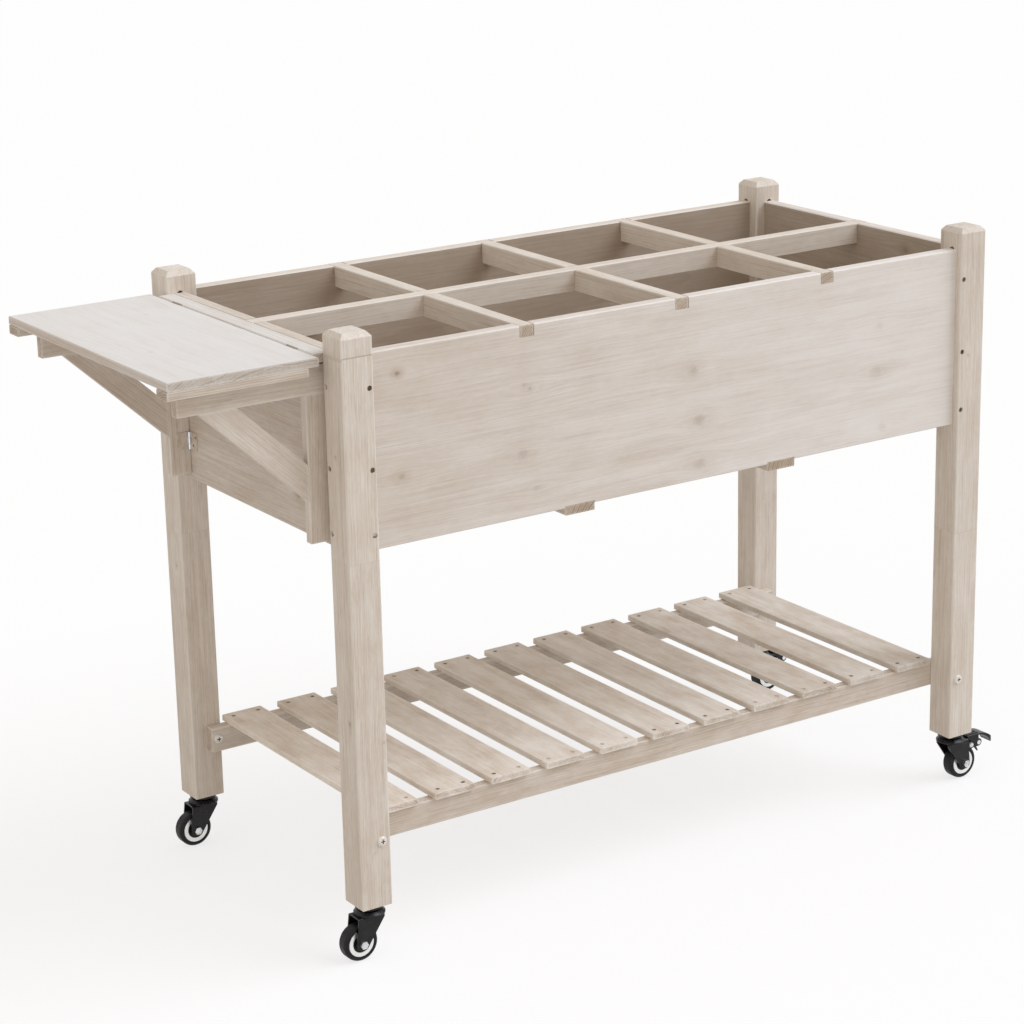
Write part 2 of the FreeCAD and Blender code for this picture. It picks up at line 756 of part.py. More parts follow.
def fork_shape(braked):
    """Swivel fork: crown, folded sheet trimmed to its outline, axle and pivot holes."""
    shoulder = fork_top - fork_shoulder
    outline = [
        (-fork_lead, fork_top), (-fork_lead, shoulder), tangent_point(-fork_lead, shoulder, -1),
        tangent_point(fork_tail, shoulder, 1), (fork_tail, shoulder), (fork_tail, fork_top),
    ]
    span = (-fork_outer, fork_outer)
    profile = prism(outline, "y", *span).fuse(rod(fork_boss_radius, "y", caster_trail, axle_height, *span))
    if braked:
        low = pedal_pivot_height - ear_radius
        high = pedal_pivot_height + ear_radius
        profile = profile.fuse(box((caster_trail, pedal_pivot_tail), span, (low, high)))
        profile = profile.fuse(rod(ear_radius, "y", pedal_pivot_tail, pedal_pivot_height, *span))
    solid = folded_sheet().common(profile)
    rim = Part.makeCylinder(crown_radius, crown_rim_height, Vec(0, 0, fork_top))
    slope = crown_height - crown_rim_height
    cone = Part.makeCone(crown_radius, crown_top_radius, slope, Vec(0, 0, fork_top + crown_rim_height))
    solid = solid.fuse([rim, cone]).removeSplitter()
    out = (-fork_outer - overrun, fork_outer + overrun)
    cuts = [
        rod(kingpin_radius + kingpin_clearance, "z", 0, 0, fork_top - fork_sheet - overrun, crown_top + overrun),
        rod(axle_radius + axle_clearance, "y", caster_trail, axle_height, *out),
    ]
    if braked:
        cuts.append(rod(rivet_radius + rivet_clearance, "y", pedal_pivot_tail, pedal_pivot_height, *out))
    return solid.cut(cuts)


def hexagon(start, end):
    """Hexagonal prism about the axle, flat sides up and down."""
    corner = nut_flats / 2 / math.cos(math.pi / 6)
    outline = []
    for n in range(6):
        turn = n * math.pi / 3
        outline.append((caster_trail + corner * math.cos(turn), axle_height + corner * math.sin(turn)))
    return prism(outline, "y", start, end)


def axle_shapes():
    """Axle bolt with its hexagon head, and the nut on its other end."""
    end = -fork_outer - nut_height - axle_end
    bolt = rod(axle_radius, "y", caster_trail, axle_height, end, fork_outer)
    bolt = bolt.fuse(hexagon(fork_outer, fork_outer + bolt_hex_height)).removeSplitter()
    nut = hexagon(-fork_outer - nut_height, -fork_outer)
    bore = rod(axle_radius + axle_clearance, "y", caster_trail, axle_height, end - overrun, 0)
    return [bolt, nut.cut(bore)]


def rivet(tail, half):
    """Rivet across the wheel, its heads outside two plates that are half apart from the middle."""
    solid = rod(rivet_radius, "y", tail, pedal_pivot_height, -half, half)
    for face in (-half, half):
        head = face + math.copysign(rivet_head_height, face)
        solid = solid.fuse(rod(rivet_head_radius, "y", tail, pedal_pivot_height, face, head))
    return solid.removeSplitter()


def pedal_tread():
    """Top of the pedal: a ribbed level sheet that bends down and thickens to a rounded lip, round in plan."""
    start = fork_tail + pedal_fork_gap
    bend = pedal_pivot_tail + pedal_flat
    tip = pedal_pivot_tail + pedal_reach - pedal_nose
    top = pedal_pivot_height + pedal_rise
    radius = ((tip - bend) ** 2 + pedal_tip_drop ** 2) / (2 * pedal_tip_drop)
    sweep = math.asin((tip - bend) / radius)

    def on_arc(depth, turn):
        """Point below the tread's outer bend, at an angle from where the bend starts."""
        r = radius - depth
        return Vec(bend + r * math.sin(turn), 0, top - radius + r * math.cos(turn))

    middle = (pedal_top_sheet + pedal_lip) / 2
    outer = [on_arc(0, 0), on_arc(0, sweep / 2), on_arc(0, sweep)]
    inner = [on_arc(pedal_top_sheet, 0), on_arc(middle, sweep / 2), on_arc(pedal_lip, sweep)]
    along = Vec(math.cos(sweep), 0, -math.sin(sweep))
    nose = on_arc(pedal_lip / 2, sweep) + along * pedal_nose
    high = Vec(start, 0, top)
    low = Vec(start, 0, top - pedal_top_sheet)
    edges = [
        Part.LineSegment(high, outer[0]).toShape(), Part.Arc(*outer).toShape(),
        Part.Arc(outer[2], nose, inner[2]).toShape(), Part.Arc(*inner).toShape(),
        Part.LineSegment(inner[0], low).toShape(), Part.LineSegment(low, high).toShape(),
    ]
    half = fork_inside / 2 - pedal_side_gap
    sheet = Part.Face(Part.Wire(Part.__sortEdges__(edges))).extrude(Vec(0, 2 * half, 0))
    sheet = sheet.translated(Vec(0, -half, 0))
    level = (pedal_pivot_height - pedal_reach, top + overrun)
    reach = pedal_pivot_tail + pedal_reach
    plan = box((start - overrun, reach - half), (-half, half), level)
    plan = plan.fuse(rod(half, "z", reach - half, 0, *level))
    tread = sheet.common(plan)
    for n in range(pedal_rib_count):
        place = (n - (pedal_rib_count - 1) / 2) * pedal_rib_pitch
        span = (place - pedal_rib_width / 2, place + pedal_rib_width / 2)
        tread = tread.fuse(box((start + pedal_rib_inset, bend), span, (top, top + pedal_rib_height)))
    return tread.removeSplitter()


def pedal_shapes():
    """Brake pedal: tread on two cheeks, brake shoe between them, and the rivet that ties the cheeks."""
    half = fork_inside / 2 - pedal_side_gap
    start = fork_tail + pedal_fork_gap
    second = pedal_pivot_tail + pedal_rivet_pitch
    under = pedal_pivot_height + pedal_rise - pedal_top_sheet
    out = (-half - overrun, half + overrun)
    cuts = []
    for spot in (pedal_pivot_tail, second):
        cuts.append(rod(rivet_radius + rivet_clearance, "y", spot, pedal_pivot_height, *out))
    solids = [pedal_tread()]
    for sign in (-1, 1):
        span = (sign * half, sign * (half - pedal_sheet))
        cheek = box((start, second), span, (pedal_pivot_height, under))
        cheek = cheek.fuse(
            box((pedal_pivot_tail, second), span, (pedal_pivot_height - ear_radius, pedal_pivot_height))
        )
        for tail in (pedal_pivot_tail, second):
            cheek = cheek.fuse(rod(ear_radius, "y", tail, pedal_pivot_height, *span))
        spur = []
        for along, up in pedal_spur_shares:
            spur.append((pedal_pivot_tail + along * pedal_rivet_pitch, pedal_pivot_height + up * ear_radius))
        cheek = cheek.fuse(prism(spur, "y", min(span), max(span))).removeSplitter()
        solids.append(cheek.cut(cuts))
    reach = wheel_radius + shoe_radius + shoe_gap
    angle = math.radians(shoe_angle)
    tail = caster_trail + reach * math.cos(angle)
    height = axle_height + reach * math.sin(angle)
    inside = half - pedal_sheet
    solids.append(rod(shoe_radius, "y", tail, height, -inside, inside))
    solids.append(rivet(second, half))
    return solids


def casters():
    """Four casters under the legs: the left pair trails left, the braked right pair trails right."""
    stem = turned(
        [
            (kingpin_head_radius, kingpin_head_height),
            (kingpin_radius, race_bottom - fork_top + fork_sheet + swivel_gap),
            (race_neck_radius, race_neck_height),
            (race_radius, race_height),
            (stem_radius, stem_length),
        ],
        fork_top - fork_sheet - swivel_gap - kingpin_head_height,
    )
    wheel = wheel_shape().translated(Vec(caster_trail, 0, axle_height))
    forks = {-1: fork_shape(False), 1: fork_shape(True)}
    axle = axle_shapes()
    pivot = rivet(pedal_pivot_tail, fork_outer)
    pedal = pedal_shapes()
    stems = []
    for row, sy in (("front", -1), ("rear", 1)):
        for side, sx in (("left", -1), ("right", 1)):
            turn = 180 if sx < 0 else 0
            spot = Vec(sx * (half_length - leg_side / 2), sy * (half_depth - leg_side / 2), 0)

            def seat(shape):
                return shape.rotated(Vec(0, 0, 0), Vec(0, 0, 1), turn).translated(spot)

            where = "%s_%s" % (row, side)
            stems.append(seat(stem))
            pieces["caster_fork_" + where] = seat(forks[sx])
            pieces["caster_wheel_" + where] = seat(wheel)
            pieces["caster_axle_" + where] = [seat(shape) for shape in axle]
            if sx > 0:
                pieces["caster_axle_" + where].append(seat(pivot))
                pieces["brake_pedal_" + where] = [seat(shape) for shape in pedal]
    pieces["caster_stems"] = stems


def planter():
    """Legs, panels, bed and dividers."""
    for row, sy in (("front", -1), ("rear", 1)):
        pieces[row + "_panel"] = long_panel(sy)
        for side, sx in (("left", -1), ("right", 1)):
            pieces["leg_%s_%s" % (row, side)] = leg(sx, sy)
    for side, sx in (("left", -1), ("right", 1)):
        pieces["end_panel_" + side] = end_panel(sx)
    half = bed_batten_width / 2
    for n, place in enumerate(batten_places(), 1):
        across = (place - half, place + half)
        level = (bed_batten_bottom, bed_batten_top)
        along = (-panel_outer_y, panel_outer_y)
        pieces["bed_batten_%d" % n] = board("y", across, level, along, bed_ease)
        screw_bed(n, place)
    pieces["bed_floor_boards"] = floor_boards()
    inner_x = panel_inner_x - divider_wall_gap
    inner_y = panel_inner_y - divider_wall_gap
    pieces["long_divider"] = divider("x", 0, panel_outer_x, inner_x, cross_places(), True)
    for n, place in enumerate(cross_places(), 1):
        pieces["cross_divider_%d" % n] = divider("y", place, panel_outer_y, inner_y, [0], False)


def write_parts():
    """Cuts the noted holes and writes one file for each piece or group of like pieces."""
    pieces["wood_screws"] = wood_screws
    pieces["shelf_bolts"] = shelf_bolts
    pieces["fixed_hinge_leaves"] = fixed_hinge_leaves
    pieces["hinge_pins"] = hinge_pins
    os.makedirs("parts", exist_ok=True)
    for name, shape in pieces.items():
        if name in holes:
            shape = shape.cut(holes[name])
        solids = [solid for item in shape for solid in item.Solids] if isinstance(shape, list) else shape.Solids
        result = solids[0] if len(solids) == 1 else Part.makeCompound(solids)
        result.exportStep("parts/%s.step" % name)
        print(name, len(solids), "solids", round(result.Volume), "mm3", "valid" if result.isValid() else "broken")


planter()
screw_panels()
side_table()
for side, sy in (("front", -1), ("rear", 1)):
    fold_bracket(side, sy)
shelf()
bolt_shelf()
casters()
write_parts()
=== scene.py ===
import json
import math

import bpy
import numpy as np
from mathutils import Euler, Matrix, Vector


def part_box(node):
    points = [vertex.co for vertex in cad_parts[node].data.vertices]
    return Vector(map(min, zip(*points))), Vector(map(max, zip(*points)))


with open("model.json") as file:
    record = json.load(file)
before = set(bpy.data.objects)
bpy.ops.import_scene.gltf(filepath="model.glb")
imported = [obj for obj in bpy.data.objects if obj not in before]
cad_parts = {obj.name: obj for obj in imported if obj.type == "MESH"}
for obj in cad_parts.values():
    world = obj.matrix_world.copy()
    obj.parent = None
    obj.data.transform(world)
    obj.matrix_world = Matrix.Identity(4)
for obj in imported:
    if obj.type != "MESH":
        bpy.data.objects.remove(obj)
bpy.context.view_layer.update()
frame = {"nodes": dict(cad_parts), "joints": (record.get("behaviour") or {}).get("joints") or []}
nodes = frame["nodes"]
scene = bpy.context.scene

# Colours of the finishes, as sRGB codes
BARE_FIR = "#C6B4A1"
LATE_FIR = "#9C866F"
WHITEWASH = "#EAE4DC"
TABLE_WASH = "#E4E2E0"
PALE_WASH = "#ECE8E4"
KNOT_HEART = "#8E7660"
SAWN_END = "#A08D76"
BLACK_PAINT = "#0B0B0C"
BLACK_PAINT_WORN = "#1D1D1F"
TYRE_RUBBER = "#0F0F10"
TYRE_DUST = "#2A2A2A"
WHEEL_RING = "#F2F2F0"
WHEEL_HUB = "#161617"
ZINC = "#E2E3E5"
ZINC_DULL = "#B4B4B2"
# Dark brown that stands partly for stain and partly for painted shade in holes, recesses and seams
SCREW_STAIN_AND_SHADE = "#4B3E33"
WASHED_STEEL = "#D8CEC2"
WASHED_BOLT = "#EEEAE4"
# Darkened steel for the leaf hinge, painting the shade in its seam
SEAM_SHADE_STEEL = "#6A6057"
FLOOR_GREY = "#DAD8D5"
PURE_WHITE = "#FFFFFF"

# How much less wash the inner faces of the walls have, and how much darker their tone is as painted shade
INSIDE_BARE, INSIDE_PAINTED_SHADE = 0.5, 0.26

# Lumps per metre of each noise in the wood: along, across and through the grain
SWAY = (2.6, 13, 13)
WAVER = (11, 70, 70)
BROAD = (4, 190, 190)
FINE = (12, 600, 600)
FLECK = (70, 560, 560)
HAIR = (7, 430, 430)
CLOUD = (3.5, 12, 12)
DRIFT = (5, 42, 42)
PATCH = (18, 34, 34)
KNOT_RIM = (240, 420, 420)

# Finger joints of the legs: half the pitch of the teeth, and their slope
TOOTH_PITCH, TOOTH_SLOPE = 0.0019, 2.6

# Casters, in metres from the middle of the planter
CASTER_Y = 0.23
WHEEL_X, WHEEL_Z = 0.521, 0.025
RING_INNER, RING_OUTER = 0.0125, 0.0183
TREAD_INNER, TREAD_OUTER = 0.0225, 0.0248
RIVET_Z, RIVET_RADIUS = 0.0507, 0.0036
RIVET_X, RIVET_FACE = 0.5492, 0.01118
PIVOT_X, PIVOT_FACE = 0.5325, 0.0134

# Heads of the shelf bolts: radius, reach of the recess, crest of the rear pair
BOLT_HEAD, BOLT_RECESS, REAR_BOLT_CREST = 0.0065, 0.0033, 0.188

# Bracket hinges: from the knuckle's edge to the plate
KNUCKLE, KNUCKLE_EDGE = 0.0027, 0.0032

# Floor: half its width, how far below the wheels it lies, how much of its own white the eye sees
FLOOR_HALF, FLOOR_DROP, FLOOR_GLOW = 40.0, 0.0003, 0.74

# Sky and lamps; each lamp has its strength, spread in degrees, tint and direction
SKY_TINT, SKY_STRENGTH = (1.0, 0.93, 0.845, 1.0), 0.56
LAMPS = {
    "soft_key": (1.7, 45, (0.94, 0.99, 1.09), (0.32, -0.2, 0.4)),
    "soft_fill": (0.42, 80, (1.0, 0.97, 0.94), (-0.7, -0.35, 0.25)),
}

# Turns that carry each grain direction to X
ALONG_X = Euler((0, 0, 0))
ALONG_Y = Euler((0, 0, -math.pi / 2))
ALONG_Z = Euler((0, math.pi / 2, 0))
ALONG_BRACE = Euler((0, math.radians(-43.0), 0))


def paint(code):
    """Linear colour from a six-digit sRGB code."""
    part = np.array([int(code[i:i + 2], 16) for i in (1, 3, 5)]) / 255
    linear = np.where(part <= 0.04045, part / 12.92, ((part + 0.055) / 1.055) ** 2.4)
    return (*linear.tolist(), 1.0)


class Bench:
    """Places shader nodes in one tree: a socket that is handed over is joined, any other value is set."""

    def __init__(self, tree):
        self.tree = tree

    def feed(self, socket, value):
        if isinstance(value, bpy.types.NodeSocket):
            self.tree.links.new(value, socket)
        else:
            socket.default_value = value

    def put(self, kind, sockets=None, **settings):
        node = self.tree.nodes.new(kind)
        for name, value in settings.items():
            setattr(node, name, value)
        for key, value in (sockets or {}).items():
            self.feed(node.inputs[key], value)
        return node

    def group(self, tree, sockets):
        """Outputs of a shared node group."""
        return self.put("ShaderNodeGroup", sockets, node_tree=tree).outputs

    def sum(self, operation, *values, clamp=False):
        """One step of arithmetic on numbers."""
        sockets = dict(enumerate(values))
        return self.put("ShaderNodeMath", sockets, operation=operation, use_clamp=clamp).outputs[0]

    def more(self, base, value, amount):
        """A base plus an amount of a value."""
        return self.sum("MULTIPLY_ADD", value, amount, base)

    def swing(self, value, amount):
        """How far a value lies from one half, times an amount."""
        return self.sum("MULTIPLY", self.sum("SUBTRACT", value, 0.5), amount)

    def place(self, operation, *values):
        """One step of arithmetic on places or directions."""
        node = self.put("ShaderNodeVectorMath", dict(enumerate(values)), operation=operation)
        return node.outputs["Value" if operation in ("LENGTH", "DOT_PRODUCT") else "Vector"]

    def scaled(self, vector, factor):
        sockets = {"Vector": vector, "Scale": factor}
        return self.put("ShaderNodeVectorMath", sockets, operation="SCALE").outputs["Vector"]

    def apart(self, first, second):
        """Distance that two offsets at a right angle make."""
        return self.place("LENGTH", self.put("ShaderNodeCombineXYZ", {0: first, 1: second}).outputs[0])

    def ramp(self, value, low, high, to_low=0.0, to_high=1.0):
        """Smooth step from one value to another between two limits."""
        sockets = {"Value": value, "From Min": low, "From Max": high, "To Min": to_low, "To Max": to_high}
        return self.put("ShaderNodeMapRange", sockets, interpolation_type="SMOOTHSTEP").outputs["Result"]

    def mix(self, factor, first, second):
        return self.put("ShaderNodeMix", {0: factor, 6: first, 7: second}, data_type="RGBA").outputs[2]

    def noise(self, place, stretch, detail=2.0, roughness=0.5):
        """Soft noise with the given number of lumps per metre on each axis."""
        sockets = {"Vector": self.place("MULTIPLY", place, stretch), "Scale": 1.0,
                   "Detail": detail, "Roughness": roughness}
        return self.put("ShaderNodeTexNoise", sockets).outputs

    def axes(self, vector):
        return self.put("ShaderNodeSeparateXYZ", {0: vector}).outputs


def new_group(name, inputs, outputs):
    """Empty node group with named sockets; hands back its bench, its inputs and its outputs."""
    tree = bpy.data.node_groups.new(name, "ShaderNodeTree")
    for label, kind, start in inputs:
        socket = tree.interface.new_socket(label, in_out="INPUT", socket_type="NodeSocket" + kind)
        if start is not None:
            socket.default_value = start
    for label, kind in outputs:
        tree.interface.new_socket(label, in_out="OUTPUT", socket_type="NodeSocket" + kind)
    return Bench(tree), tree.nodes.new("NodeGroupInput").outputs, tree.nodes.new("NodeGroupOutput").inputs


def fir_knot_group():
    """Branch that runs through a board. Its mask falls from the heart to the rim, and the grain lines are
    pushed aside by radius times offset over root of (radius squared plus offset squared), dying away with
    the distance."""
    bench, given, made = new_group(
        "fir_knot",
        [("Place", "Vector", None), ("Knot", "Float", 0.0), ("Halo", "Float", 0.0),
         ("Centre", "Vector", None), ("Across", "Vector", None), ("Radius", "Float", 0.006),
         ("Depth", "Float", 1.0)],
        [("Place", "Vector"), ("Knot", "Float"), ("Halo", "Float")],
    )
    radius = given["Radius"]
    offset = bench.place("SUBTRACT", given["Place"], given["Centre"])
    offset = bench.place("MULTIPLY", offset, given["Across"])
    ragged = bench.noise(given["Place"], KNOT_RIM, 4.0, 0.7)["Fac"]
    reach = bench.sum("DIVIDE", bench.place("LENGTH", offset), radius)
    reach = bench.sum("ADD", reach, bench.swing(ragged, 1.3))
    heart = bench.sum("MULTIPLY", bench.ramp(reach, 0.15, 0.8, 1.0, 0.0), given["Depth"])
    halo = bench.sum("MULTIPLY", bench.ramp(reach, 0.3, 2.4, 1.0, 0.0), given["Depth"])
    aside = bench.place("MULTIPLY", offset, (0, 1, 1))
    square = bench.sum("POWER", radius, 2.0)
    spread = bench.sum("SQRT", bench.sum("ADD", square, bench.place("DOT_PRODUCT", aside, aside)))
    distance = bench.place("LENGTH", bench.place("MULTIPLY", offset, (0.55, 1, 1)))
    fade = bench.ramp(distance, 0.0, 0.03, 1.0, 0.0)
    push = bench.sum("MULTIPLY", bench.sum("DIVIDE", radius, spread), fade)
    bench.feed(made["Place"], bench.place("SUBTRACT", given["Place"], bench.scaled(aside, push)))
    bench.feed(made["Knot"], bench.sum("MAXIMUM", given["Knot"], heart))
    bench.feed(made["Halo"], bench.sum("MAXIMUM", given["Halo"], halo))
    return bench.tree


def finger_joint_group():
    """Zigzag glue line across a leg. Beyond it the grain comes from another length of wood, so the place is
    shifted, and the line itself is a thin mask where the zigzag and the place along the grain meet."""
    bench, given, made = new_group(
        "finger_joint",
        [("Place", "Vector", None), ("Line", "Float", 0.0), ("Tone", "Float", 0.0), ("At", "Float", 0.0),
         ("Shift", "Vector", None), ("Tint", "Float", 0.0), ("Dark", "Float", 0.2)],
        [("Place", "Vector"), ("Line", "Float"), ("Tone", "Float")],
    )
    along, across, _ = bench.axes(given["Place"])
    tooth = bench.sum("PINGPONG", bench.sum("ADD", across, 10.0), TOOTH_PITCH)
    past = bench.sum("SUBTRACT", bench.more(along, tooth, TOOTH_SLOPE), given["At"])
    beyond = bench.sum("GREATER_THAN", past, 0.0)
    thin = bench.ramp(bench.sum("ABSOLUTE", past), 0.0003, 0.0012, 1.0, 0.0)
    thin = bench.sum("MULTIPLY", thin, given["Dark"])
    bench.feed(made["Place"], bench.place("ADD", given["Place"], bench.scaled(given["Shift"], beyond)))
    bench.feed(made["Line"], bench.sum("MAXIMUM", given["Line"], thin))
    bench.feed(made["Tone"], bench.more(given["Tone"], beyond, given["Tint"]))
    return bench.tree


def board_edge_group():
    """How far a spot on a board is from the nearest edge: on each axis the nearer of two faces, then the
    second smallest of the three, because the smallest belongs to the face that the spot lies on."""
    bench, given, made = new_group(
        "board_edge",
        [("Place", "Vector", None), ("Low", "Vector", None), ("High", "Vector", None)],
        [("Edge", "Float")],
    )
    from_low = bench.place("SUBTRACT", given["Place"], given["Low"])
    from_high = bench.place("SUBTRACT", given["High"], given["Place"])
    x, y, z = bench.axes(bench.place("MINIMUM", from_low, from_high))
    lesser = bench.sum("MINIMUM", x, y)
    greater = bench.sum("MINIMUM", bench.sum("MAXIMUM", x, y), z)
    bench.feed(made["Edge"], bench.sum("MAXIMUM", lesser, greater))
    return bench.tree


def fir_wood_group():
    """Whitewashed fir as a solid. Growth rings are whole turns of the wobbling distance from the pith, which
    is the X axis; fibres are noise drawn out along X; the wash is a pale coat of uneven thickness over both,
    which catches along the edges and soaks into sawn ends. The paleness along edges and eased corners is
    partly this wash and partly painted highlight."""
    bench, given, made = new_group(
        "fir_wood",
        [("Place", "Vector", None), ("Facing", "Vector", None), ("Edge", "Float", 1.0),
         ("Ring width", "Float", 0.004), ("Ring depth", "Float", 0.5), ("Fibre depth", "Float", 0.3),
         ("Patch depth", "Float", 0.5), ("Wash", "Float", 0.6), ("End wash", "Float", -0.2),
         ("Tone", "Float", 0.0), ("Knot", "Float", 0.0), ("Halo", "Float", 0.0), ("Line", "Float", 0.0),
         ("Wash colour", "Color", paint(WHITEWASH))],
        [("Color", "Color"), ("Roughness", "Float"), ("Height", "Float")],
    )
    place, halo, fibre = given["Place"], given["Halo"], given["Fibre depth"]
    middle = (0.5, 0.5, 0.5)
    sway = bench.place("SUBTRACT", bench.noise(place, SWAY, 1.0)["Color"], middle)
    waver = bench.place("SUBTRACT", bench.noise(place, WAVER, 1.0)["Color"], middle)
    bent = bench.place("ADD", place, bench.scaled(sway, 0.026))
    bent = bench.place("ADD", bent, bench.scaled(waver, 0.0022))
    from_pith = bench.place("LENGTH", bench.place("MULTIPLY", bent, (0, 1, 1)))
    turns = bench.sum("DIVIDE", from_pith, given["Ring width"])
    within = bench.sum("FRACT", turns)
    year = bench.put("ShaderNodeTexWhiteNoise", {"W": bench.sum("FLOOR", turns)}, noise_dimensions="1D")
    late = bench.sum("MULTIPLY", bench.ramp(within, 0.25, 0.9), bench.ramp(within, 0.9, 1.0, 1.0, 0.0))
    late = bench.sum("MULTIPLY", late, bench.ramp(year.outputs["Value"], 0.0, 1.0, 0.25, 1.0))

    broad = bench.noise(place, BROAD, 2.0, 0.6)["Fac"]
    fine = bench.noise(place, FINE, 3.0, 0.7)["Fac"]
    fleck = bench.noise(place, FLECK, 3.0, 0.75)["Fac"]
    hair = bench.ramp(bench.noise(place, HAIR, 1.0)["Fac"], 0.64, 0.74)
    cloud = bench.noise(place, CLOUD, 2.0, 0.6)["Fac"]
    drift = bench.noise(place, DRIFT, 3.0, 0.6)["Fac"]
    patch = bench.noise(place, PATCH, 3.0, 0.65)["Fac"]

    # Sawn ends, and the edges and eased corners made paler, partly by the wash and partly as painted highlight
    along, across, deep = bench.axes(bench.place("ABSOLUTE", given["Facing"]))
    end = bench.ramp(along, 0.7, 0.93)
    flat = bench.sum("MAXIMUM", along, bench.sum("MAXIMUM", across, deep))
    eased = bench.ramp(flat, 0.8, 0.95, 1.0, 0.0)
    ragged = bench.sum("ADD", given["Edge"], bench.swing(fleck, 0.008))
    edge_wash_and_highlight = bench.ramp(ragged, 0.0004, 0.003, 1.0, 0.0)
    edge_wash_and_highlight = bench.sum("MAXIMUM", edge_wash_and_highlight, bench.sum("MULTIPLY", eased, 0.2))

    # The wood below the wash
    ringed = bench.sum("MULTIPLY", late, given["Ring depth"])
    ringed = bench.sum("MAXIMUM", ringed, bench.sum("MULTIPLY", hair, bench.sum("MULTIPLY", fibre, 0.9)))
    wood = bench.mix(ringed, paint(BARE_FIR), paint(LATE_FIR))
    wood = bench.mix(bench.sum("MULTIPLY", halo, 0.3), wood, paint(LATE_FIR))
    cut = bench.mix(0.45, paint(BARE_FIR), paint(SAWN_END))
    cut = bench.mix(bench.sum("MULTIPLY", late, 0.9), cut, paint(KNOT_HEART))
    wood = bench.mix(end, wood, cut)

    # The wash over it, thinner on rings and knots
    streak = bench.swing(bench.more(bench.sum("MULTIPLY", broad, 0.3), fine, 0.7), fibre)
    rough = bench.swing(fleck, fibre)
    cloudy = bench.more(bench.sum("MULTIPLY", cloud, 0.4), drift, 0.6)
    uneven = bench.sum("ADD", bench.swing(cloudy, 0.65), bench.swing(patch, given["Patch depth"]))
    cover = bench.sum("ADD", given["Wash"], uneven)
    for value, amount in ((streak, 2.8), (rough, 1.6), (ringed, -0.35), (end, given["End wash"]),
                          (edge_wash_and_highlight, 0.26), (halo, -0.2)):
        cover = bench.more(cover, value, amount)
    coat = bench.mix(bench.ramp(cover, -0.1, 1.1), wood, given["Wash colour"])
    coat = bench.mix(bench.sum("MULTIPLY", given["Knot"], 0.6), coat, paint(KNOT_HEART))
    coat = bench.mix(bench.sum("MULTIPLY", given["Line"], 0.8), coat, paint(LATE_FIR))
    shade = bench.sum("ADD", 1.0, bench.more(given["Tone"], streak, 0.35))
    bench.feed(made["Color"], bench.scaled(coat, shade))

    dull = bench.more(0.58, fine, 0.22)
    bench.feed(made["Roughness"], bench.sum("ADD", dull, bench.sum("MULTIPLY", end, 0.12), clamp=True))
    relief = bench.more(bench.sum("MULTIPLY", broad, 0.5), fine, 0.5)
    relief = bench.more(relief, ringed, -0.4)
    relief = bench.more(relief, given["Line"], -0.5)
    bench.feed(made["Height"], bench.more(relief, given["Knot"], 0.2))
    return bench.tree


def metal_skin_group():
    """Uneven skin of a metal or moulded piece: slow clouds, fine pitting and sparse scuffs from noise."""
    bench, given, made = new_group(
        "metal_skin",
        [("Place", "Vector", None), ("Fineness", "Float", 900.0)],
        [("Cloud", "Float"), ("Scuff", "Float"), ("Height", "Float")],
    )
    cloud = bench.noise(given["Place"], (90, 90, 90), 3.0, 0.6)["Fac"]
    pits = bench.noise(bench.scaled(given["Place"], given["Fineness"]), (1, 1, 1), 2.0)["Fac"]
    scuff = bench.noise(given["Place"], (160, 700, 240), 2.0, 0.65)["Fac"]
    bench.feed(made["Cloud"], bench.ramp(cloud, 0.32, 0.68))
    bench.feed(made["Scuff"], bench.ramp(scuff, 0.56, 0.72))
    bench.feed(made["Height"], pits)
    return bench.tree


FIR_WOOD = fir_wood_group()
BOARD_EDGE = board_edge_group()
FIR_KNOT = fir_knot_group()
FINGER_JOINT = finger_joint_group()
METAL_SKIN = metal_skin_group()


def bare_material(name):
    """Material without nodes, and its bench."""
    material = bpy.data.materials.new(name)
    material.use_nodes = True
    material.node_tree.nodes.clear()
    return material, Bench(material.node_tree)


def new_material(name):
    """Material with only its shader and its surface coordinates."""
    material, bench = bare_material(name)
    shader = bench.put("ShaderNodeBsdfPrincipled")
    bench.put("ShaderNodeOutputMaterial", {"Surface": shader.outputs[0]})
    return material, bench, shader, bench.put("ShaderNodeTexCoord").outputs


def emboss(bench, shader, height, strength, distance):
    """Fine relief on a surface."""
    bump = bench.put("ShaderNodeBump", {"Height": height, "Strength": strength, "Distance": distance})
    bench.feed(shader.inputs["Normal"], bump.outputs[0])


def wear(node, material):
    """Puts one material on every slot of a piece."""
    mesh = nodes[node].data
    if not mesh.materials:
        mesh.materials.append(material)
    for slot in nodes[node].material_slots:
        slot.material = material


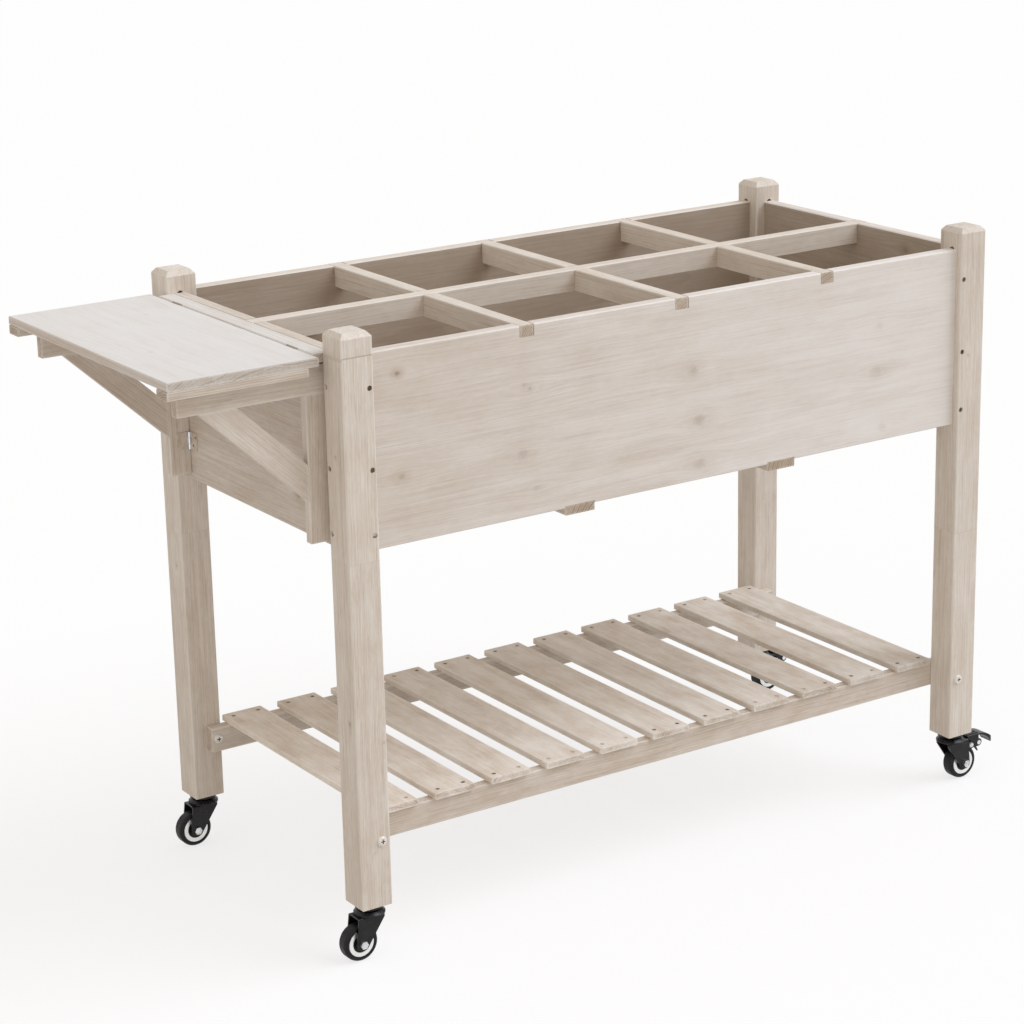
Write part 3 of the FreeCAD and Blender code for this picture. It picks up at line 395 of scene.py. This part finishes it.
def fir(node, turn, pith, tone=0.0, wash=0.62, ring=(0.0042, 0.5), fibre=0.3, knots=(), joints=(),
        across=(1, 1, 0), coat=WHITEWASH, paler=0.0, patch=0.5, ends=-0.2, inside=None, top=0.0):
    """Fir for one board. turn carries its grain to X, pith is how far the board's middle stands from the heart
    of the tree, along, across and through. tone is how much lighter the board is, ring the width and depth of
    its growth rings, fibre the depth of its fibres. Knots are (place on the planter, radius, depth), flattened
    by across. Joints are (height, jump of the grain, tint, darkness of the glue line). coat is the colour of
    the wash, wash how much of it there is, paler how much more at the far end of the grain, a painted light
    that makes that end lighter, ends how much more on sawn ends, top how much more on the upper face, patch
    how blotchy it is, and inside the way that an inner face looks: it gets less wash, and a darker tone as
    painted shade."""
    material, bench, shader, coordinates = new_material("fir_" + node)
    low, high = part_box(node)
    rotation = turn.to_matrix()
    shift = Vector(pith) - rotation @ ((low + high) / 2)
    sockets = {"Vector": coordinates["Object"], "Location": shift, "Rotation": turn}
    place = bench.put("ShaderNodeMapping", sockets).outputs[0]
    sockets = {"Vector": coordinates["Normal"], "Rotation": turn}
    facing = bench.put("ShaderNodeMapping", sockets, vector_type="VECTOR").outputs[0]
    grain = {"Place": place}
    for spot, radius, depth in knots:
        centre = rotation @ Vector(spot) + shift
        sockets = {"Centre": centre, "Across": across, "Radius": radius, "Depth": depth, **grain}
        made = bench.group(FIR_KNOT, sockets)
        grain = {key: made[key] for key in ("Place", "Knot", "Halo")}
    lengths = {"Tone": tone}
    for height, jump, tint, dark in joints:
        at = (rotation @ Vector((0, 0, height)) + shift).x
        sockets = {"Place": grain["Place"], "At": at, "Shift": jump, "Tint": tint, "Dark": dark, **lengths}
        made = bench.group(FINGER_JOINT, sockets)
        grain["Place"] = made["Place"]
        lengths = {key: made[key] for key in ("Line", "Tone")}
    # Painted light: more wash towards the far end of the grain makes that end of the board lighter
    if paler:
        half = (rotation @ (high - low)).x / 2
        wash = bench.ramp(bench.axes(place)[0], pith[0] - half, pith[0] + half, wash, wash + paler)
    # Inner faces get less wash, and a darker tone that is painted shade inside the box
    if inside:
        inner = bench.ramp(bench.place("DOT_PRODUCT", coordinates["Normal"], inside), 0.7, 0.9)
        wash = bench.more(wash, inner, -INSIDE_BARE)
        lengths["Tone"] = bench.more(tone, inner, -INSIDE_PAINTED_SHADE)
    if top:
        upper = bench.ramp(bench.axes(coordinates["Normal"])[2], 0.7, 0.95)
        wash = bench.more(wash, upper, top)
    rim = bench.group(BOARD_EDGE, {"Place": coordinates["Object"], "Low": low, "High": high})
    wood = bench.group(FIR_WOOD, {
        "Facing": facing, "Edge": rim["Edge"], "Ring width": ring[0], "Ring depth": ring[1],
        "Fibre depth": fibre, "Patch depth": patch, "Wash": wash, "End wash": ends,
        "Wash colour": paint(coat), **grain, **lengths,
    })
    bench.feed(shader.inputs["Base Color"], wood["Color"])
    bench.feed(shader.inputs["Roughness"], wood["Roughness"])
    emboss(bench, shader, wood["Height"], 0.35, 0.0006)
    wear(node, material)


def dress_legs():
    """Legs of finger-jointed lengths, each with its own heart, joints as (height, darkness) and knots."""
    legs = {
        "leg_front_left": (
            (0.1, 0.031, 0.026), ((0.545, 0.1), (0.807, 0.7)),
            [((-0.525, -0.238, 0.330), 0.0032, 0.7), ((-0.484, -0.2525, 0.300), 0.003, 0.5),
             ((-0.503, -0.2525, 0.152), 0.0022, 0.35)]),
        "leg_front_right": (
            (0.7, -0.024, 0.038), ((0.395, 0.15),), [((0.497, -0.2525, 0.655), 0.003, 0.4)]),
        "leg_rear_left": (
            (1.4, 0.028, -0.034), ((0.470, 0.1),), [((-0.525, 0.226, 0.420), 0.004, 0.5)]),
        "leg_rear_right": (
            (2.2, -0.036, -0.022), ((0.610, 0.1),), [((0.525, 0.232, 0.330), 0.0042, 0.5)]),
    }
    for count, (node, (pith, glued, knots)) in enumerate(legs.items()):
        joints = []
        for height, dark in glued:
            side = (-1) ** (count + len(joints))
            joints.append((height, (0, 0.012 * side, 0.009), 0.015 * side, dark))
        fir(node, ALONG_Z, pith, wash=0.56, ring=(0.0034, 0.2), fibre=0.36, knots=knots, joints=joints,
            across=(1, 1, 1), ends=0.15)


def dress_panels():
    """Planter walls with their knots."""
    face, back, side = -0.2415, 0.2415, 0.514
    front = [
        ((-0.4395, face, 0.7744), 0.0055, 1.0), ((-0.4383, face, 0.6409), 0.0070, 0.45),
        ((-0.2555, face, 0.6389), 0.0100, 0.42), ((-0.2427, face, 0.7232), 0.0036, 0.45),
        ((-0.252, face, 0.727), 0.0036, 0.3), ((0.0187, face, 0.7054), 0.0100, 0.36),
        ((0.0277, face, 0.6362), 0.0130, 0.42), ((0.0284, face, 0.5751), 0.0120, 0.32),
        ((0.3427, face, 0.7182), 0.0080, 0.2), ((0.3365, face, 0.6545), 0.0150, 0.22),
        ((0.3485, face, 0.5716), 0.0115, 0.26), ((-0.235, face, 0.590), 0.0060, 0.2),
    ]
    rear = [((0.11, back, 0.640), 0.011, 0.6), ((-0.30, back, 0.710), 0.009, 0.6),
            ((0.37, back, 0.600), 0.012, 0.5), ((-0.13, back, 0.595), 0.007, 0.5)]
    left = [((-side, 0.05, 0.66), 0.009, 0.5), ((-side, -0.11, 0.60), 0.007, 0.5)]
    right = [((side, -0.117, 0.784), 0.007, 0.6), ((side, 0.09, 0.67), 0.011, 0.5),
             ((side, -0.04, 0.59), 0.008, 0.5)]
    through = (0.8, 0, 1)
    # The front panel grows paler towards its right end, painted light from the side of the key lamp
    fir("front_panel", ALONG_X, (0.4, 0.075, 0.03), 0.0, 0.5, (0.0050, 0.13), 0.22, front, across=through,
        coat=PALE_WASH, paler=0.32, patch=0.3, inside=(0, 1, 0))
    fir("rear_panel", ALONG_X, (3.1, -0.085, -0.02), 0.0, 0.6, (0.0052, 0.18), 0.28, rear, across=through,
        inside=(0, -1, 0))
    fir("end_panel_left", ALONG_Y, (1.3, 0.07, 0.04), -0.06, 0.46, (0.0046, 0.2), 0.42, left,
        across=through, inside=(1, 0, 0))
    fir("end_panel_right", ALONG_Y, (2.3, -0.08, 0.02), 0.0, 0.62, (0.0048, 0.18), 0.28, right,
        across=through, coat=PALE_WASH, inside=(-1, 0, 0))


def dress_bed():
    """Battens, floor boards and dividers of the bed."""
    for count in (1, 2):
        pith = (count, 0.05, 0.05 - 0.015 * count)
        fir("bed_batten_%d" % count, ALONG_Y, pith, -0.03, 0.42, (0.0036, 0.4), 0.36, ends=-0.35)
    fir("bed_floor_boards", ALONG_X, (0.5, 0.02, 0.06), -0.04, 0.5, (0.0042, 0.3), 0.32)
    fir("long_divider", ALONG_X, (0.9, 0.03, 0.04), 0.02, 0.6, (0.004, 0.24), 0.28, ends=-0.4)
    for count in (1, 2, 3):
        pith = (0.6 * count, 0.024, 0.012 * count)
        fir("cross_divider_%d" % count, ALONG_Y, pith, 0.01, 0.58, (0.0034, 0.3), 0.3, ends=-0.4)


def dress_table():
    """Folding side table: strip, leaf, battens and the two fold brackets."""
    knots = [((-0.60, 0.12, 0.807), 0.005, 0.25), ((-0.69, -0.07, 0.807), 0.006, 0.2)]
    fir("table_leaf", ALONG_Y, (0.2, 0.05, 0.26), -0.01, 0.42, (0.0042, 0.26), 0.24, knots,
        coat=TABLE_WASH, patch=0.3, ends=0.0, top=0.5)
    fir("table_hinge_strip", ALONG_Y, (1.2, 0.04, 0.05), -0.01, 0.5, (0.0042, 0.2), 0.28,
        coat=TABLE_WASH, top=0.25)
    fir("table_batten_front", ALONG_X, (0.3, 0.014, 0.03), -0.03, 0.4, (0.0036, 0.6), 0.36)
    fir("table_batten_rear", ALONG_X, (1.3, -0.018, 0.03), -0.02, 0.46, (0.0036, 0.45), 0.36)
    bracket = {"tone": 0.01, "wash": 0.54, "ring": (0.0036, 0.28), "fibre": 0.38}
    for count, side in enumerate(("front", "rear")):
        fir("bracket_post_" + side, ALONG_Z, (count, 0.03, 0.04), **bracket)
        fir("bracket_arm_" + side, ALONG_X, (count + 0.4, 0.035, 0.03), **bracket)
        fir("bracket_brace_" + side, ALONG_BRACE, (count + 0.8, 0.03, 0.04), **bracket)


def dress_shelf():
    """Rails and slats; each slat has its own heart and wash, and a tone that falls from the first slat to the
    last, a painted light that lifts the slats lying in the planter's shadow, with a little random spread.
    """
    fir("shelf_rail_front", ALONG_X, (0.1, 0.03, 0.045), -0.02, 0.44, (0.0036, 0.22), 0.34, patch=0.8)
    fir("shelf_rail_rear", ALONG_X, (1.1, -0.03, 0.045), -0.02, 0.54, (0.0036, 0.22), 0.32, patch=0.8)
    chance = np.random.default_rng(11)
    for count in range(1, 12):
        pith = (0.7 * count, float(chance.uniform(-0.03, 0.03)), float(chance.uniform(0.03, 0.06)))
        # Tone falls from the first slat to the last: painted light that lifts the slats lying in the planter's
        # shadow
        tone = 0.18 - 0.021 * count + float(chance.uniform(-0.02, 0.02))
        wash = float(chance.uniform(0.52, 0.66))
        fir("shelf_slat_%02d" % count, ALONG_Y, pith, tone, wash, (0.0038, 0.18), 0.28,
            patch=1.2, ends=-0.1)


def black_steel():
    """Black painted steel of forks, pedals and stems; the rivets through the pedals stay bare zinc."""
    material, bench, shader, coordinates = new_material("black_painted_steel")
    skin = bench.group(METAL_SKIN, {"Place": coordinates["Object"], "Fineness": 1400.0})
    coat = bench.mix(skin["Cloud"], paint(BLACK_PAINT), paint(BLACK_PAINT_WORN))
    x, y, z = bench.axes(coordinates["Object"])
    up = bench.sum("SUBTRACT", z, RIVET_Z)
    aside = bench.sum("ABSOLUTE", bench.sum("SUBTRACT", bench.sum("ABSOLUTE", y), CASTER_Y))
    heads = []
    for spot, face in ((RIVET_X, RIVET_FACE), (PIVOT_X, PIVOT_FACE)):
        reach = bench.apart(bench.sum("SUBTRACT", x, spot), up)
        near = bench.ramp(reach, RIVET_RADIUS, RIVET_RADIUS + 0.0001, 1.0, 0.0)
        heads.append(bench.sum("MULTIPLY", near, bench.ramp(aside, face, face + 0.00012)))
    rivet = bench.sum("MAXIMUM", *heads)
    bench.feed(shader.inputs["Base Color"], bench.mix(rivet, coat, paint(ZINC)))
    bench.feed(shader.inputs["Metallic"], rivet)
    shader.inputs["Specular IOR Level"].default_value = 0.3
    dull = bench.more(0.2, skin["Cloud"], 0.14)
    bench.feed(shader.inputs["Roughness"], bench.more(dull, skin["Scuff"], 0.12))
    emboss(bench, shader, skin["Height"], 0.12, 0.0003)
    return material


def caster_wheel():
    """Wheel in zones by the distance from its axle: dark hub, pale ring, black tyre with a dusty tread."""
    material, bench, shader, coordinates = new_material("caster_wheel_tyre_and_ring")
    skin = bench.group(METAL_SKIN, {"Place": coordinates["Object"], "Fineness": 1100.0})
    x, _, z = bench.axes(coordinates["Object"])
    out = bench.sum("SUBTRACT", bench.sum("ABSOLUTE", x), WHEEL_X)
    radius = bench.apart(out, bench.sum("SUBTRACT", z, WHEEL_Z))
    dust = bench.sum("MULTIPLY", skin["Scuff"], bench.ramp(radius, TREAD_INNER, TREAD_OUTER))
    tyre = bench.mix(dust, paint(TYRE_RUBBER), paint(TYRE_DUST))
    hub = bench.ramp(radius, RING_INNER, RING_INNER + 0.0003, 1.0, 0.0)
    ring = bench.sum("MULTIPLY", bench.ramp(radius, RING_INNER, RING_INNER + 0.0003),
                     bench.ramp(radius, RING_OUTER, RING_OUTER + 0.0003, 1.0, 0.0))
    grey = bench.mix(bench.sum("MULTIPLY", skin["Cloud"], 0.16), paint(WHEEL_RING), paint(ZINC_DULL))
    colour = bench.mix(ring, bench.mix(hub, tyre, paint(WHEEL_HUB)), grey)
    bench.feed(shader.inputs["Base Color"], colour)
    bench.feed(shader.inputs["Metallic"], bench.sum("MULTIPLY", ring, 0.8))
    shader.inputs["Specular IOR Level"].default_value = 0.28
    dull = bench.more(0.42, skin["Cloud"], 0.16)
    bench.feed(shader.inputs["Roughness"], bench.more(dull, ring, -0.1))
    emboss(bench, shader, skin["Height"], 0.15, 0.0003)
    return material


def zinc_steel(name, bright, dull, rough):
    """Zinc plated steel: bright with dull clouds; with the dark seam colours it is darkened steel that paints
    shade.
    """
    material, bench, shader, coordinates = new_material(name)
    skin = bench.group(METAL_SKIN, {"Place": coordinates["Object"], "Fineness": 1800.0})
    bench.feed(shader.inputs["Base Color"], bench.mix(skin["Cloud"], paint(bright), paint(dull)))
    shader.inputs["Metallic"].default_value = 1.0
    bench.feed(shader.inputs["Roughness"], bench.more(rough, skin["Cloud"], 0.16))
    emboss(bench, shader, skin["Height"], 0.1, 0.0002)
    return material


def washed_hinge():
    """Hinge plates under the same wash as the wood, with bright knuckles rubbed bare round the brackets' pins.
    """
    material, bench, shader, coordinates = new_material("washed_hinge_steel")
    skin = bench.group(METAL_SKIN, {"Place": coordinates["Object"]})
    pin = next(joint["pos_m"] for joint in frame["joints"] if joint["name"] == "rear_bracket_fold")
    x, y, _ = bench.axes(coordinates["Object"])
    across = bench.sum("SUBTRACT", bench.sum("ABSOLUTE", y), abs(pin[1]))
    reach = bench.apart(bench.sum("SUBTRACT", x, pin[0]), across)
    knuckle = bench.ramp(reach, KNUCKLE, KNUCKLE_EDGE, 1.0, 0.0)
    scuffed = bench.sum("MAXIMUM", knuckle, bench.sum("MULTIPLY", skin["Scuff"], 0.35))
    coat = bench.mix(skin["Cloud"], paint(WASHED_STEEL), paint(BARE_FIR))
    bench.feed(shader.inputs["Base Color"], bench.mix(scuffed, coat, paint(ZINC)))
    bench.feed(shader.inputs["Metallic"], scuffed)
    bench.feed(shader.inputs["Roughness"], bench.ramp(scuffed, 0.0, 1.0, 0.6, 0.28))
    emboss(bench, shader, skin["Height"], 0.12, 0.0002)
    return material


def washed_bolt():
    """Round bolt heads that were washed with the wood: a pale coat, rubbed through to the zinc in spots, and
    painted dark as shade in the recess."""
    material, bench, shader, coordinates = new_material("washed_bolt_steel")
    skin = bench.group(METAL_SKIN, {"Place": coordinates["Object"]})
    low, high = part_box("shelf_bolts")
    x, y, z = bench.axes(coordinates["Object"])
    across = bench.sum("SUBTRACT", bench.sum("ABSOLUTE", x), high.x - BOLT_HEAD)
    reach = bench.apart(across, bench.sum("SUBTRACT", z, (low.z + high.z) / 2))
    crest = bench.ramp(y, -0.01, 0.01, low.y, REAR_BOLT_CREST)
    sunk = bench.ramp(bench.sum("SUBTRACT", y, crest), 0.0002, 0.0008)
    recess = bench.sum("MULTIPLY", sunk, bench.ramp(reach, BOLT_RECESS, BOLT_RECESS + 0.0003, 1.0, 0.0))
    rubbed = bench.sum("MULTIPLY", skin["Scuff"], 0.8)
    coat = bench.mix(bench.sum("MULTIPLY", skin["Cloud"], 0.4), paint(WASHED_BOLT), paint(WASHED_STEEL))
    coat = bench.mix(rubbed, coat, paint(ZINC))
    # The recess is painted dark brown as shade
    bench.feed(shader.inputs["Base Color"], bench.mix(recess, coat, paint(SCREW_STAIN_AND_SHADE)))
    bench.feed(shader.inputs["Metallic"], bench.sum("SUBTRACT", rubbed, recess, clamp=True))
    bench.feed(shader.inputs["Roughness"], bench.ramp(rubbed, 0.0, 1.0, 0.5, 0.3))
    emboss(bench, shader, skin["Height"], 0.15, 0.0003)
    return material


def screw_steel():
    """Screw heads, each dark brown in its hole, partly stain and partly painted shade of the counterbore, or
    still pale from the wash, as its place decides.
    """
    material, bench, shader, coordinates = new_material("screw_steel")
    skin = bench.group(METAL_SKIN, {"Place": coordinates["Object"]})
    cell = bench.place("FLOOR", bench.place("MULTIPLY", coordinates["Object"], (40, 40, 40)))
    pick = bench.put("ShaderNodeTexWhiteNoise", {"Vector": cell}, noise_dimensions="3D").outputs["Value"]
    # Dark heads stand partly for stain and partly for painted shade in the counterbores
    colour = bench.mix(bench.ramp(pick, 0.55, 0.7), paint(SCREW_STAIN_AND_SHADE), paint(WASHED_STEEL))
    colour = bench.mix(bench.sum("MULTIPLY", skin["Cloud"], 0.35), colour, paint(LATE_FIR))
    bench.feed(shader.inputs["Base Color"], colour)
    shader.inputs["Metallic"].default_value = 0.2
    bench.feed(shader.inputs["Roughness"], bench.more(0.4, skin["Cloud"], 0.2))
    return material


def dress_metal():
    """Steel and rubber on every fitting."""
    black = black_steel()
    wheel = caster_wheel()
    zinc = zinc_steel("zinc_plated_steel", ZINC, ZINC_DULL, 0.24)
    hinge = washed_hinge()
    for node in nodes:
        if node.startswith(("caster_fork", "brake_pedal")) or node == "caster_stems":
            wear(node, black)
        elif node.startswith("caster_wheel"):
            wear(node, wheel)
        elif node.startswith("caster_axle"):
            wear(node, zinc)
        elif node.startswith("bracket_hinge_plates") or node in ("fixed_hinge_leaves", "hinge_pins"):
            wear(node, hinge)
    # Leaf hinge plates are darkened as painted shade in the seam between the leaf and the strip
    wear("leaf_hinge_plates", zinc_steel("seam_hinge_painted_shade", SEAM_SHADE_STEEL, SCREW_STAIN_AND_SHADE, 0.4))
    wear("shelf_bolts", washed_bolt())
    wear("wood_screws", screw_steel())


def seen_rays(bench):
    """One for camera, mirror and glass rays, and zero for the others."""
    rays = bench.put("ShaderNodeLightPath").outputs
    mirror = bench.sum("MAXIMUM", rays["Is Glossy Ray"], rays["Is Transmission Ray"])
    return bench.sum("MAXIMUM", rays["Is Camera Ray"], mirror)


def pale_floor():
    """Wide flat floor of one quad. Camera and mirror rays see it paler than the light it throws back."""
    mesh = bpy.data.meshes.new("floor")
    signs = ((-1, -1), (1, -1), (1, 1), (-1, 1))
    corners = [(FLOOR_HALF * x, FLOOR_HALF * y, -FLOOR_DROP) for x, y in signs]
    mesh.from_pydata(corners, [], [(0, 1, 2, 3)])
    floor = bpy.data.objects.new("floor", mesh)
    scene.collection.objects.link(floor)
    material, bench = bare_material("pale_floor")
    seen = seen_rays(bench)
    colour = bench.mix(seen, paint(FLOOR_GREY), paint(PURE_WHITE))
    grey = bench.put("ShaderNodeBsdfDiffuse", {"Color": colour})
    white = bench.put("ShaderNodeEmission", {"Color": paint(PURE_WHITE), "Strength": 1.0})
    glow = bench.sum("MULTIPLY", seen, FLOOR_GLOW)
    lit = bench.put("ShaderNodeMixShader", {0: glow, 1: grey.outputs[0], 2: white.outputs[0]})
    bench.put("ShaderNodeOutputMaterial", {"Surface": lit.outputs[0]})
    mesh.materials.append(material)


def studio_light():
    """Wide soft key from the right, the front and above, a weak fill from the left, and an even warm sky."""
    for name, (energy, spread, tint, way) in LAMPS.items():
        lamp = bpy.data.lights.new(name, "SUN")
        lamp.energy = energy
        lamp.angle = math.radians(spread)
        lamp.color = tint
        holder = bpy.data.objects.new(name, lamp)
        holder.rotation_euler = Vector(way).to_track_quat("Z", "Y").to_euler()
        scene.collection.objects.link(holder)
    world = bpy.data.worlds.new("studio")
    world.use_nodes = True
    world.node_tree.nodes.clear()
    bench = Bench(world.node_tree)
    sky = bench.put("ShaderNodeBackground", {"Color": SKY_TINT, "Strength": SKY_STRENGTH})
    white = bench.put("ShaderNodeBackground", {"Color": paint(PURE_WHITE), "Strength": 1.0})
    both = bench.put("ShaderNodeMixShader", {0: seen_rays(bench), 1: sky.outputs[0], 2: white.outputs[0]})
    bench.put("ShaderNodeOutputWorld", {"Surface": both.outputs[0]})
    scene.world = world
    scene.view_settings.view_transform = "Standard"


def photo_camera():
    """Camera that looks at a point inside the planter, set by its azimuth, height, roll and distance."""
    azimuth, height, roll = (math.radians(angle) for angle in (-33.368, 17.043, -1.274))
    target, distance = Vector((-0.1156, 0.0, 0.4758)), 3.9517
    level = math.cos(height)
    back = Vector((math.sin(azimuth) * level, -math.cos(azimuth) * level, math.sin(height)))
    right = Vector((0, 0, 1)).cross(back).normalized()
    up = back.cross(right)
    side = right * math.cos(roll) + up * math.sin(roll)
    top = up * math.cos(roll) - right * math.sin(roll)
    data = bpy.data.cameras.new("photo_camera")
    data.sensor_fit = "HORIZONTAL"
    data.sensor_width = 36.0
    data.lens = 99.81
    data.clip_end = 200.0
    camera = bpy.data.objects.new("photo_camera", data)
    turn = Matrix((side, top, back)).transposed().to_4x4()
    camera.matrix_world = Matrix.Translation(target + distance * back) @ turn
    scene.collection.objects.link(camera)
    scene.camera = camera


dress_legs()
dress_panels()
dress_bed()
dress_table()
dress_shelf()
dress_metal()
pale_floor()
studio_light()
photo_camera()
